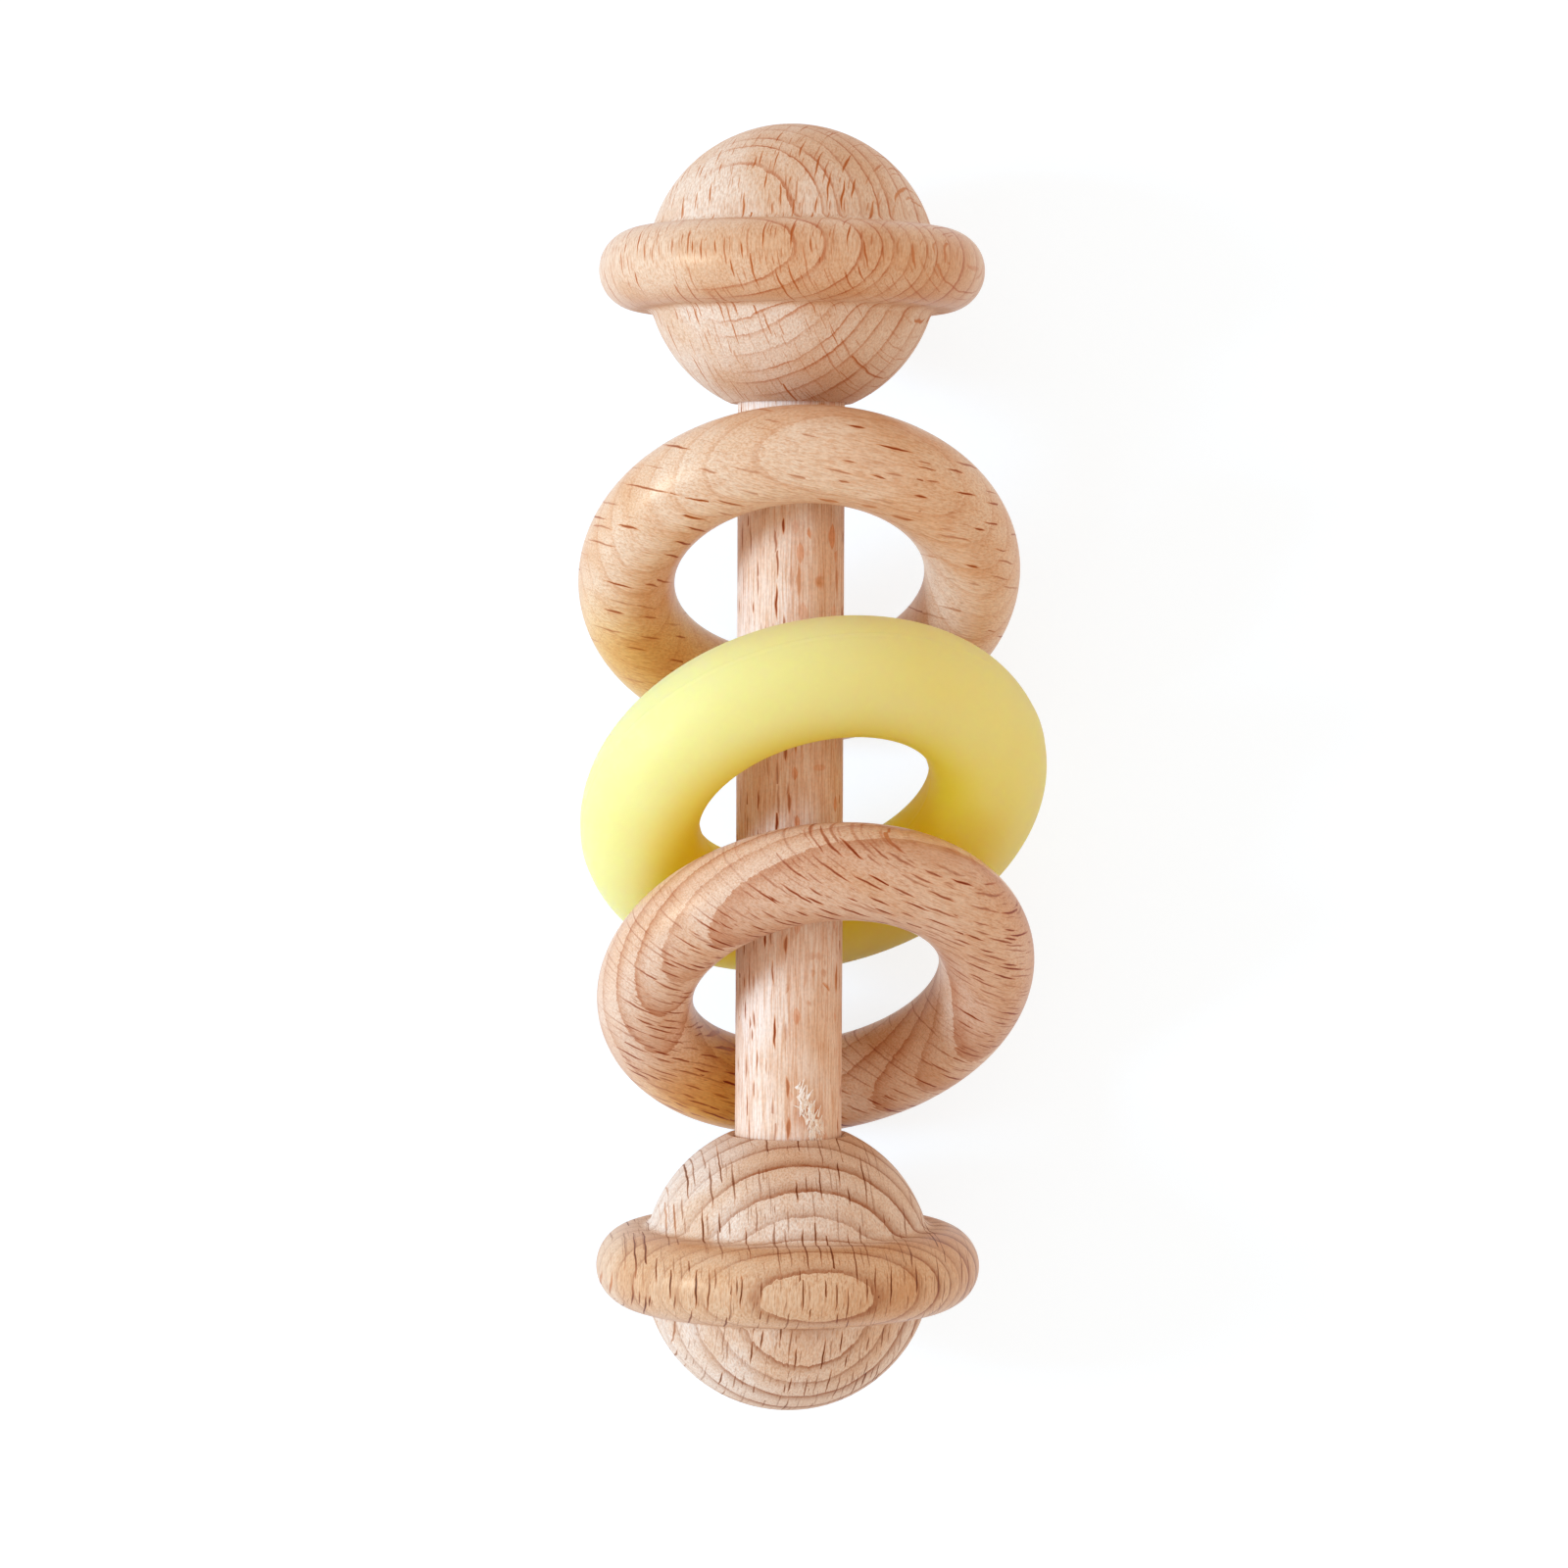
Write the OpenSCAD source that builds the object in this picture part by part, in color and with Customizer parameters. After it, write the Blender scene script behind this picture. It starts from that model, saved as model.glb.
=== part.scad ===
// Ring rattle: a dowel between two turned beads, with three loose rings that slide and clack along it.
// It lies as it was set down on a table. The dowel runs along Y, the table is z = 0, and the origin is
// on the table under the middle of the dowel. Each ring stands on the table and leans over the dowel.

/* [Dowel] */
// Diameter of the dowel
dowel_d = 12; // [9:0.5:13.5]
// Length of dowel glued into each bead
tenon_len = 16; // [8:0.5:20]
// Chamfer on both ends of the dowel
tenon_chamfer = 0.8; // [0.3:0.1:2]

/* [Beads] */
// Diameter of the ball
ball_d = 32.5; // [29:0.5:36]
// Diameter over the rim around the ball
rim_d = 43; // [39:0.5:48]
// Thickness of the rim, which is round at its edge
rim_t = 9; // [7:0.5:11]
// Radius of the hollow between rim and ball
hollow_r = 1.2; // [0.6:0.1:2.4]
// Gap between dowel and bore, all round
bore_gap = 0.2; // [0.05:0.05:0.5]
// Chamfer at the mouth of the bore
mouth_chamfer = 0.5; // [0.2:0.1:1.5]
// Room for glue between the dowel's end and the bottom of the bore
glue_room = 0.5; // [0.2:0.1:2]

/* [Wooden rings] */
// Outer diameter of a wooden ring
ring_od = 49.6; // [46:0.2:56]
// Thickness of a wooden ring
ring_t = 10.8; // [8:0.2:12]

/* [Silicone ring] */
// Outer diameter of the silicone ring
silicone_od = 53.2; // [49:0.2:60]
// Thickness of the silicone ring
silicone_t = 13.4; // [10:0.2:14.6]

/* [Lie of the rings] */
// Turn of the upper ring about the vertical, in degrees
upper_turn = 4; // [-15:0.5:15]
// Turn of the silicone ring about the vertical, in degrees
silicone_turn = 16.5; // [-20:0.5:20]
// Turn of the lower ring about the vertical, in degrees
lower_turn = 11; // [-15:0.5:15]
// Sideways shift of the upper ring
upper_shift = 1; // [-4:0.1:4]
// Sideways shift of the silicone ring
silicone_shift = 2.8; // [-4:0.1:4]
// Sideways shift of the lower ring
lower_shift = 3.1; // [-4:0.1:4]
// Gap between the upper ring's top and the dowel under it
upper_lift = 0.3; // [0.3:0.1:4]
// Gap between the silicone ring's top and the dowel under it
silicone_lift = 2.2; // [0.3:0.1:4]
// Gap between the lower ring's top and the dowel under it
lower_lift = 1.2; // [0.3:0.1:4]
// Clearance that is left between loose pieces wherever they slide
rest_gap = 0.3; // [0.2:0.05:0.6]

/* [Travel along the dowel] */
// Free travel between the upper bead and the upper ring
play_top = 2.2; // [0:0.1:20]
// Free travel between the upper ring and the silicone ring
play_upper = 5.4; // [0:0.1:20]
// Free travel between the silicone ring and the lower ring
play_lower = 0.2; // [0:0.1:20]
// Free travel between the lower ring and the lower bead
play_bottom = 2.4; // [0:0.1:20]

/* [Hidden] */
$fn = 96;

dowel_r = dowel_d / 2;
ball_r = ball_d / 2;

// The rim's edge is a circle of radius rim_r, whose centre runs round the ball at rim_mid.
rim_r = rim_t / 2;
rim_mid = rim_d / 2 - rim_r;

// The hollow's circle touches the ball and the rim from outside. It bites into both by a hair, so that
// the arcs cross cleanly.
hollow_bite = 0.01;
hollow_x = (pow(ball_r + hollow_r, 2) - pow(rim_r + hollow_r, 2) + pow(rim_mid, 2)) / (2 * rim_mid);
hollow_y = sqrt(pow(ball_r + hollow_r, 2) - pow(hollow_x, 2));

// The bore opens where its chamfered mouth meets the ball.
bore_r = dowel_r + bore_gap;
mouth_r = bore_r + mouth_chamfer;
mouth_y = sqrt(pow(ball_r, 2) - pow(mouth_r, 2));
bore_depth = tenon_len + glue_room;

// The beads rest on their rims, unless a thick ring under the dowel holds it higher.
axis_z = max(rim_d / 2, dowel_r + rest_gap + max(ring_t, silicone_t));

// A ring is its centre line's radius, its tube's radius, its turn, its shift and its lean.
RADIUS = 0;
TUBE = 1;
TURN = 2;
SHIFT = 3;
LEAN = 4;

// Angle from the table at which a ring of this centre line's radius stands on the table with its top
// this far above the dowel
function lean_angle(radius, lift) = asin((axis_z + dowel_r + lift) / (2 * radius));

// Points round a ring's centre line, measured from the dowel's axis
point_step = 5;
function centre_line(ring) = [
    for (a = [0 : point_step : 360 - point_step])
    let (
        along = ring[RADIUS] * cos(a),
        up = ring[RADIUS] * sin(a)
    )
    [
        ring[SHIFT] + along * cos(ring[TURN]) - up * sin(ring[TURN]) * cos(ring[LEAN]),
        along * sin(ring[TURN]) + up * cos(ring[TURN]) * cos(ring[LEAN]),
        ring[TUBE] - axis_z + (ring[RADIUS] + up) * sin(ring[LEAN])
    ]
];

// Least gap between a ring and the dowel
function dowel_gap(ring) = min([for (p = centre_line(ring)) norm([p.x, p.z])]) - ring[TUBE] - dowel_r;

// A ring that would touch the dowel with its side is turned and shifted back, step by step, until it clears.
function with_share(ring, share) =
    [ring[RADIUS], ring[TUBE], share * ring[TURN], share * ring[SHIFT], ring[LEAN]];
settle_step = 0.02;
hair = 0.001;
function settled(ring) = [
    for (share = [1 : -settle_step : 0])
    let (tried = with_share(ring, share))
    if (dowel_gap(tried) >= rest_gap - hair) tried
][0];

function leaning_ring(od, t, turn, shift, lift) =
    let (radius = (od - t) / 2)
    settled([radius, t / 2, turn, shift, lean_angle(radius, lift)]);

UPPER = leaning_ring(ring_od, ring_t, upper_turn, upper_shift, upper_lift);
SILICONE = leaning_ring(silicone_od, silicone_t, silicone_turn, silicone_shift, silicone_lift);
LOWER = leaning_ring(ring_od, ring_t, lower_turn, lower_shift, lower_lift);

// Least distance along the dowel by which one set of points lies above another, when each point of one
// keeps the given reach from each point of the other
function stand_off(above, below, reach) = max([
    for (p = above, q = below)
    let (room = pow(reach, 2) - pow(p.x - q.x, 2) - pow(p.z - q.z, 2))
    if (room > 0) sqrt(room) - p.y + q.y
]);

// A bead is met at its ball, whose points are one centre, or at its rim.
ball_points = [[0, 0, 0]];
rim_points = [for (a = [0 : point_step : 360 - point_step]) [rim_mid * cos(a), 0, rim_mid * sin(a)]];

function ring_to_ring(above, below) =
    stand_off(centre_line(above), centre_line(below), above[TUBE] + below[TUBE] + rest_gap);
function bead_to_ring(ring) = max(
    stand_off(ball_points, centre_line(ring), ball_r + ring[TUBE] + rest_gap),
    stand_off(rim_points, centre_line(ring), rim_r + ring[TUBE] + rest_gap)
);
function ring_to_bead(ring) = max(
    stand_off(centre_line(ring), ball_points, ball_r + ring[TUBE] + rest_gap),
    stand_off(centre_line(ring), rim_points, rim_r + ring[TUBE] + rest_gap)
);

// Steps along the dowel, from the middle of one piece to the middle of the next
step_top = bead_to_ring(UPPER) + play_top;
step_upper = ring_to_ring(UPPER, SILICONE) + play_upper;
step_lower = ring_to_ring(SILICONE, LOWER) + play_lower;
step_bottom = ring_to_bead(LOWER) + play_bottom;

// Places along the dowel, with the two beads alike about the origin
bead_y = (step_top + step_upper + step_lower + step_bottom) / 2;
upper_y = bead_y - step_top;
silicone_y = upper_y - step_upper;
lower_y = silicone_y - step_lower;
dowel_len = 2 * (bead_y - mouth_y + tenon_len);

// Half of a bead's section, with the bead's axis along the section's Y axis
module bead_section() {
    intersection() {
        union() {
            circle(r = ball_r);
            translate([rim_mid, 0]) circle(r = rim_r);
            difference() {
                polygon([[0, 0], [hollow_x, -hollow_y], [rim_mid, 0], [hollow_x, hollow_y]]);
                for (side = [-1, 1])
                    translate([hollow_x, side * hollow_y]) circle(r = hollow_r + hollow_bite);
            }
        }
        translate([0, -rim_d]) square([rim_d, 2 * rim_d]);
    }
}

// A bead about the origin with its axis along Z and the mouth of its bore facing down. The chamfer's cone
// runs on below the ball, so that it cuts the ball's surface all round.
module bead() {
    mouth_run = ball_r - mouth_y;
    difference() {
        rotate_extrude() bead_section();
        translate([0, 0, -ball_r]) cylinder(r = bore_r, h = mouth_run + bore_depth);
        translate([0, 0, -ball_r])
            cylinder(r1 = mouth_r + mouth_run, r2 = bore_r, h = mouth_run + mouth_chamfer);
    }
}

// A plain round ring about the origin, flat in the XY plane
module round_ring(ring) {
    rotate_extrude() translate([ring[RADIUS], 0]) circle(r = ring[TUBE]);
}

// A ring at its lean, standing on the table at its place along the dowel
module placed_ring(ring, y) {
    translate([ring[SHIFT], y, ring[TUBE] + ring[RADIUS] * sin(ring[LEAN])])
        rotate([0, 0, ring[TURN]])
            rotate([ring[LEAN], 0, 0])
                round_ring(ring);
}

module dowel() {
    color("burlywood")
        translate([0, 0, axis_z])
            rotate([90, 0, 0])
                rotate_extrude()
                    polygon([
                        [0, -dowel_len / 2],
                        [dowel_r - tenon_chamfer, -dowel_len / 2],
                        [dowel_r, tenon_chamfer - dowel_len / 2],
                        [dowel_r, dowel_len / 2 - tenon_chamfer],
                        [dowel_r - tenon_chamfer, dowel_len / 2],
                        [0, dowel_len / 2]
                    ]);
}

module upper_bead() {
    color("tan")
        translate([0, bead_y, axis_z])
            rotate([-90, 0, 0])
                bead();
}

module lower_bead() {
    color("tan")
        translate([0, -bead_y, axis_z])
            rotate([90, 0, 0])
                bead();
}

module upper_ring() {
    color("peru") placed_ring(UPPER, upper_y);
}

module silicone_ring() {
    color("khaki") placed_ring(SILICONE, silicone_y);
}

module lower_ring() {
    color("peru") placed_ring(LOWER, lower_y);
}

dowel();
upper_bead();
lower_bead();
upper_ring();
silicone_ring();
lower_ring();
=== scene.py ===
# %% [markdown]
# # A ring rattle in beech and silicone
# A baby's rattle lies on a pale table. A beech dowel carries a turned bead on each end, and three loose
# rings lean over it: two of beech and one of yellow silicone. The CAD model gives every size and place,
# so this lesson only dresses it: each piece is modelled again with a finer surface and gets its own
# finish. Everything is in metres, and the dowel runs along Y with the table at z = 0.

# %% Load the frame
import random
from math import asin, atan2, cos, pi, radians, sin, sqrt

import bpy
from mathutils import Euler, Matrix, Vector


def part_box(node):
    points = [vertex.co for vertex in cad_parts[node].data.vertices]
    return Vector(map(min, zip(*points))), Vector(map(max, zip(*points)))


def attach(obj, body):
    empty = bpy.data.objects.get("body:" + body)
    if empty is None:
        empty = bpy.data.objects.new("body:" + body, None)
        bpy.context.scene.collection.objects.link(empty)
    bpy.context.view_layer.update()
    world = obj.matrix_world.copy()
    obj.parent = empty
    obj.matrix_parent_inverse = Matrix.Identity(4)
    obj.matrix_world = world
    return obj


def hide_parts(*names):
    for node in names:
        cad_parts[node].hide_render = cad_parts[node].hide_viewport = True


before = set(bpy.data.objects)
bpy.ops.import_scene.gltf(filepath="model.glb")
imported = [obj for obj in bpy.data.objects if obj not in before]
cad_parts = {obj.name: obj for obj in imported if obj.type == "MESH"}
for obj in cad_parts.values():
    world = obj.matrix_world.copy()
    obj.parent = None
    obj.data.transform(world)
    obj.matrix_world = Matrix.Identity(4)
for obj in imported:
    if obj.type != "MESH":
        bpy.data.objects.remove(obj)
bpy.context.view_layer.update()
MM = 0.001


# %% [markdown]
# ## The camera
# The photograph looks almost straight down on the rattle from half a metre. A long lens keeps the two
# beads nearly the same size. The camera could be aimed with a constraint, but a plain place and turn is
# easier to read, and it stays where it is put.

# %% Camera
LENS = 101.25
SENSOR = 36.0
EYE = (-0.00197, 0.01795, 0.51422)
TILT_DEGREES = (-2.272, -0.145, 0.25)

eye_data = bpy.data.cameras.new("photo_camera")
eye_data.lens = LENS
eye_data.sensor_width = SENSOR
eye = bpy.data.objects.new("photo_camera", eye_data)
eye.location = EYE
eye.rotation_euler = [radians(turn) for turn in TILT_DEGREES]
bpy.context.scene.collection.objects.link(eye)
bpy.context.scene.camera = eye
print("camera height in mm:", round(EYE[2] / MM))

# %% [markdown]
# ## Helpers for nodes
# Every finish below is a graph of shader nodes. A few small helpers keep the graphs short to write: one
# adds a node and fills its sockets, one writes a colour the way a colour picker shows it, and one starts
# an empty finish.

# %% Node helpers
def add_node(tree, kind, sockets=None, **settings):
    """Adds a node. A socket is filled by name or number, with a value or with another node's output."""
    made = tree.nodes.new(kind)
    for name, value in settings.items():
        setattr(made, name, value)
    for key, value in (sockets or {}).items():
        if isinstance(value, bpy.types.NodeSocket):
            tree.links.new(value, made.inputs[key])
        else:
            made.inputs[key].default_value = value
    return made


def picked(red, green, blue):
    """A colour as a colour picker gives it, from 0 to 255, turned by the sRGB rule into linear values."""
    linear = []
    for value in (red, green, blue):
        share = value / 255
        linear.append(share / 12.92 if share <= 0.04045 else ((share + 0.055) / 1.055) ** 2.4)
    return (*linear, 1.0)


def empty_finish(name):
    """A new material with no nodes, and its node tree."""
    finish = bpy.data.materials.new(name)
    finish.use_nodes = True
    finish.node_tree.nodes.clear()
    return finish, finish.node_tree

# %% [markdown]
# ## The table and the light
# The rattle lies on white in cool, soft light from the left. A weak warm lamp on the right and warm
# surroundings fill the shadows. A white table could be lit until it burns out, but then the wood would
# burn out too. So the table shows the camera a steady glow and a share of its lit surface: it looks white
# and keeps a shadow, while for the wood it is just a pale table that throws some light back.

# %% Table
TABLE_SIZE = 4.0
TABLE_DROP = 0.05 * MM
TABLE_PALE = (0.86, 0.86, 0.86, 1)
TABLE_SHOWN = (0.24, 0.30, 0.37, 1)
TABLE_GLOW = 0.80
WHITE = (1, 1, 1, 1)

bpy.ops.object.select_all(action="DESELECT")
bpy.ops.mesh.primitive_plane_add(size=TABLE_SIZE, location=(0, 0, -TABLE_DROP))
table = bpy.context.object
table.name = "table"

finish, tree = empty_finish("white_table")
ray = add_node(tree, "ShaderNodeLightPath").outputs
seen = add_node(tree, "ShaderNodeMath", {0: ray["Is Camera Ray"], 1: ray["Is Glossy Ray"]},
                operation="MAXIMUM")
seen = add_node(tree, "ShaderNodeMath", {0: seen.outputs[0], 1: ray["Is Transmission Ray"]},
                operation="MAXIMUM")
pale = add_node(tree, "ShaderNodeBsdfDiffuse", {"Color": TABLE_PALE})
lit = add_node(tree, "ShaderNodeBsdfDiffuse", {"Color": TABLE_SHOWN})
glow = add_node(tree, "ShaderNodeEmission", {"Color": WHITE, "Strength": TABLE_GLOW})
shown = add_node(tree, "ShaderNodeAddShader", {0: lit.outputs[0], 1: glow.outputs[0]})
mixed = add_node(tree, "ShaderNodeMixShader", {0: seen.outputs[0], 1: pale.outputs[0], 2: shown.outputs[0]})
add_node(tree, "ShaderNodeOutputMaterial", {"Surface": mixed.outputs[0]})
table.data.materials.append(finish)
print("table side in m:", TABLE_SIZE)

# %% Lamps and surroundings
AIM = Vector((0, 0, 20 * MM))
LAMPS = {
    "left_lamp": {"place": (-0.96, 0.04, 0.60), "side": 0.30, "watts": 9.35, "tint": (0.66, 1.0, 1.30)},
    "right_lamp": {"place": (0.80, 0.02, 0.46), "side": 0.25, "watts": 0.6, "tint": (1.0, 0.85, 0.70)},
}
ROOM_TINT = (1, 0.82, 0.66, 1)
ROOM_LIGHT = 0.755

for name, lamp in LAMPS.items():
    data = bpy.data.lights.new(name, "AREA")
    data.shape = "SQUARE"
    data.size = lamp["side"]
    data.energy = lamp["watts"]
    data.color = lamp["tint"]
    placed = bpy.data.objects.new(name, data)
    placed.location = lamp["place"]
    placed.rotation_euler = (AIM - Vector(lamp["place"])).to_track_quat("-Z", "Y").to_euler()
    bpy.context.scene.collection.objects.link(placed)

world = bpy.data.worlds.new("white_room")
world.use_nodes = True
tree = world.node_tree
tree.nodes.clear()
ray = add_node(tree, "ShaderNodeLightPath").outputs
room = add_node(tree, "ShaderNodeBackground", {"Color": ROOM_TINT, "Strength": ROOM_LIGHT})
backdrop = add_node(tree, "ShaderNodeBackground", {"Color": WHITE, "Strength": 1.0})
mixed = add_node(tree, "ShaderNodeMixShader",
                 {0: ray["Is Camera Ray"], 1: room.outputs[0], 2: backdrop.outputs[0]})
add_node(tree, "ShaderNodeOutputWorld", {"Surface": mixed.outputs[0]})
bpy.context.scene.world = world
bpy.context.scene.view_settings.view_transform = "Standard"
print("lamps in watts:", {name: lamp["watts"] for name, lamp in LAMPS.items()})

# %% [markdown]
# ## Helpers for turning on a lathe
# The dowel, the beads and the rings are all round, so each can be drawn as half a section and spun about
# an axis, as on a lathe. The section could be typed in as points. Here it is drawn instead: one
# point is pushed along straight lines with Extrude and swung along arcs with Spin, and the line that it
# leaves is the section.

# %% Draw a section
def pencil(name, start):
    """An object in edit mode whose mesh is one point at start, ready to draw with."""
    bpy.ops.object.select_all(action="DESELECT")
    bpy.ops.mesh.primitive_plane_add(size=MM)
    drawn = bpy.context.object
    drawn.name = name
    drawn.data.name = name
    bpy.ops.object.mode_set(mode="EDIT")
    bpy.ops.mesh.select_mode(type="VERT")
    bpy.ops.mesh.select_all(action="SELECT")
    bpy.ops.mesh.merge(type="CENTER")
    bpy.ops.transform.translate(value=start)
    return drawn


def push(step):
    """Draws a straight line from the selected point."""
    bpy.ops.mesh.extrude_region_move(TRANSFORM_OT_translate={"value": step})


def swing(centre, turn, steps, axis=(0, 0, 1)):
    """Draws an arc from the selected point about an axis through centre. A positive turn is anticlockwise,
    which Spin itself counts as negative."""
    bpy.ops.mesh.spin(steps=steps, angle=-turn, center=centre, axis=axis)

# %% Spin a section and put it in place
WELD = 0.002 * MM


def weld():
    """Merges the points that lie on each other where a spin closes."""
    bpy.ops.mesh.select_all(action="SELECT")
    bpy.ops.mesh.remove_doubles(threshold=WELD)


def turn_on_lathe(axis, steps):
    """Spins the whole section about an axis through the origin and closes the mesh it makes."""
    bpy.ops.mesh.select_all(action="SELECT")
    bpy.ops.mesh.spin(steps=steps, angle=2 * pi, center=(0, 0, 0), axis=axis)
    weld()
    bpy.ops.mesh.normals_make_consistent(inside=False)
    bpy.ops.object.mode_set(mode="OBJECT")


def put_in_place(piece, place, turn=(0, 0, 0)):
    """Moves the piece and applies the move, so that its place is in its mesh."""
    bpy.ops.object.select_all(action="DESELECT")
    piece.select_set(True)
    bpy.context.view_layer.objects.active = piece
    piece.location = place
    piece.rotation_euler = turn
    bpy.ops.object.transform_apply(location=True, rotation=True, scale=True)

# %% Sand by hand
SMOOTH_ANGLE = radians(35)
SEED_STEP = (0.37, 0.11, 0.23)


def sand_by_hand(piece, depth, span, seed):
    """Takes a hair off here and there, as sanding does, and shades the piece smooth."""
    bpy.context.view_layer.objects.active = piece
    hollows = bpy.data.textures.new(piece.name + "_sanding", "CLOUDS")
    hollows.noise_scale = span
    hollows.noise_depth = 1
    shift = bpy.data.objects.new("sanding_shift", None)
    bpy.context.scene.collection.objects.link(shift)
    shift.location = [seed * step for step in SEED_STEP]
    bpy.context.view_layer.update()
    sanded = piece.modifiers.new("sanding", "DISPLACE")
    sanded.texture = hollows
    sanded.texture_coords = "OBJECT"
    sanded.texture_coords_object = shift
    sanded.mid_level = 1.0
    sanded.strength = depth
    bpy.ops.object.modifier_apply(modifier=sanded.name)
    bpy.data.objects.remove(shift)
    bpy.ops.object.shade_smooth_by_angle(angle=SMOOTH_ANGLE)


def report(piece):
    """Prints the size of a finished piece in mm and its face count."""
    size = [round(v / MM, 2) for v in piece.dimensions]
    print(piece.name, "size in mm:", size, "faces:", len(piece.data.polygons))

# %% [markdown]
# ## The dowel
# The dowel is a plain turned stick with chamfered ends that are glued into the beads. A cylinder would
# have long thin faces, so the section's long line is drawn in many short steps before it is spun: then the
# surface has enough points to take the small hollows that sanding leaves.

# %% Dowel
DOWEL_CHAMFER = 0.8 * MM
DOWEL_ROWS = 150
LATHE_STEPS = 160
SANDING_DEPTH = 0.05 * MM
SANDING_SPAN = 9 * MM

low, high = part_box("dowel")
dowel_r = (high.x - low.x) / 2
dowel_len = high.y - low.y
axis_z = (high.z + low.z) / 2

dowel = pencil("beech_dowel", (0, dowel_len / 2, 0))
push((dowel_r - DOWEL_CHAMFER, 0, 0))
push((DOWEL_CHAMFER, -DOWEL_CHAMFER, 0))
row = (dowel_len - 2 * DOWEL_CHAMFER) / DOWEL_ROWS
for _ in range(DOWEL_ROWS):
    push((0, -row, 0))
push((-DOWEL_CHAMFER, -DOWEL_CHAMFER, 0))
push((DOWEL_CHAMFER - dowel_r, 0, 0))
turn_on_lathe((0, 1, 0), LATHE_STEPS)
put_in_place(dowel, (0, 0, axis_z))
sand_by_hand(dowel, SANDING_DEPTH, SANDING_SPAN, seed=1)
report(dowel)

# %% [markdown]
# ## A torn patch on the dowel
# Low on the dowel the cutter met the grain the wrong way and tore a strip of fibres up instead of cutting
# them. They stand off the surface as pale slivers. They could be painted on, but then they would catch no
# light and cast no shadow. So one sliver is modelled: a plane that is cut into rows, tapered, lifted at
# its tip and given a thickness. It is then copied along the strip, each copy with its own length and turn.

# %% One sliver
SLIVER_LENGTH = 1.15 * MM
SLIVER_WIDTH = 0.22 * MM
SLIVER_LIFT = 0.24 * MM
SLIVER_THICK = 0.035 * MM
SLIVER_ROWS = 4
ROW_REACH = 0.05 * MM
TAPER = 0.85
TAPER_CURVE = 1.5
LIFT_CURVE = 1.6


def one_sliver(name):
    """A thin pointed shaving along Y whose root lies at the origin and whose tip stands up."""
    bpy.ops.object.select_all(action="DESELECT")
    bpy.ops.mesh.primitive_plane_add(size=SLIVER_LENGTH, location=(0, 0, 0))
    sliver = bpy.context.object
    sliver.name = name
    bpy.ops.object.mode_set(mode="EDIT")
    bpy.ops.mesh.select_mode(type="VERT")
    bpy.ops.mesh.subdivide(number_cuts=SLIVER_ROWS - 1)
    bpy.ops.transform.resize(value=(SLIVER_WIDTH / SLIVER_LENGTH, 1, 1))
    bpy.ops.transform.translate(value=(0, SLIVER_LENGTH / 2, 0))
    for step in range(SLIVER_ROWS + 1):
        share = step / SLIVER_ROWS
        bpy.ops.mesh.select_all(action="DESELECT")
        bpy.ops.object.mode_set(mode="OBJECT")
        for point in sliver.data.vertices:
            point.select = abs(point.co.y - share * SLIVER_LENGTH) < ROW_REACH
        bpy.ops.object.mode_set(mode="EDIT")
        bpy.ops.transform.resize(value=(1 - TAPER * share ** TAPER_CURVE, 1, 1))
        bpy.ops.transform.translate(value=(0, 0, SLIVER_LIFT * share ** LIFT_CURVE))
    bpy.ops.object.mode_set(mode="OBJECT")
    wall = sliver.modifiers.new("thickness", "SOLIDIFY")
    wall.thickness = SLIVER_THICK
    wall.offset = 0
    bpy.ops.object.modifier_apply(modifier=wall.name)
    return sliver

# %% Copies of the sliver
TORN_COUNT = 96

first = one_sliver("torn_fibres")
slivers = [first]
for _ in range(TORN_COUNT - 1):
    bpy.ops.object.select_all(action="DESELECT")
    first.select_set(True)
    bpy.context.view_layer.objects.active = first
    bpy.ops.object.duplicate()
    slivers.append(bpy.context.object)
print("slivers:", len(slivers))

# %% Torn fibres
TORN_SEED = 11
TORN_START = Vector((1.2, -35.2)) * MM
TORN_END = Vector((3.3, -40.3)) * MM
TORN_BREADTH = 0.6 * MM
TORN_CROWDING = 0.75
TORN_SINK = 0.03 * MM
HEADING_SPREAD = 0.35
WIDTH_SHARES = (0.6, 1.7)
LENGTH_SHARES = (0.4, 1.5)
LIFT_SHARES = (0.1, 1.0)

draw = random.Random(TORN_SEED)
skin = dowel_r - TORN_SINK
for sliver in slivers:
    spot = TORN_START.lerp(TORN_END, draw.random() ** TORN_CROWDING)
    spot.x += draw.uniform(-1, 1) * TORN_BREADTH
    spot.y += draw.uniform(-1, 1) * TORN_BREADTH
    roll = asin(spot.x / dowel_r)
    sliver.location = (skin * sin(roll), spot.y, axis_z + skin * cos(roll))
    heading = draw.gauss(0, HEADING_SPREAD) + (pi if draw.random() < 0.5 else 0)
    turn = Euler((0, roll, 0)).to_matrix() @ Euler((0, 0, heading)).to_matrix()
    sliver.rotation_euler = turn.to_euler()
    sliver.scale = (draw.uniform(*WIDTH_SHARES), draw.uniform(*LENGTH_SHARES), draw.uniform(*LIFT_SHARES))
bpy.ops.object.select_all(action="DESELECT")
for sliver in slivers:
    sliver.select_set(True)
bpy.context.view_layer.objects.active = first
bpy.ops.object.join()
torn_fibres = bpy.context.object
bpy.ops.object.transform_apply(location=True, rotation=True, scale=True)
bpy.ops.object.shade_smooth_by_angle(angle=SMOOTH_ANGLE)
report(torn_fibres)

# %% [markdown]
# ## The beads
# Each bead is turned from one block: a ball, a round rim about its middle, a small hollow where the two
# meet, and a bore with an eased mouth for the dowel. A sphere joined to a torus would leave a hard crease,
# so the section is drawn as the turner's template is: five arcs that run into each other, then the mouth.

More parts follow.
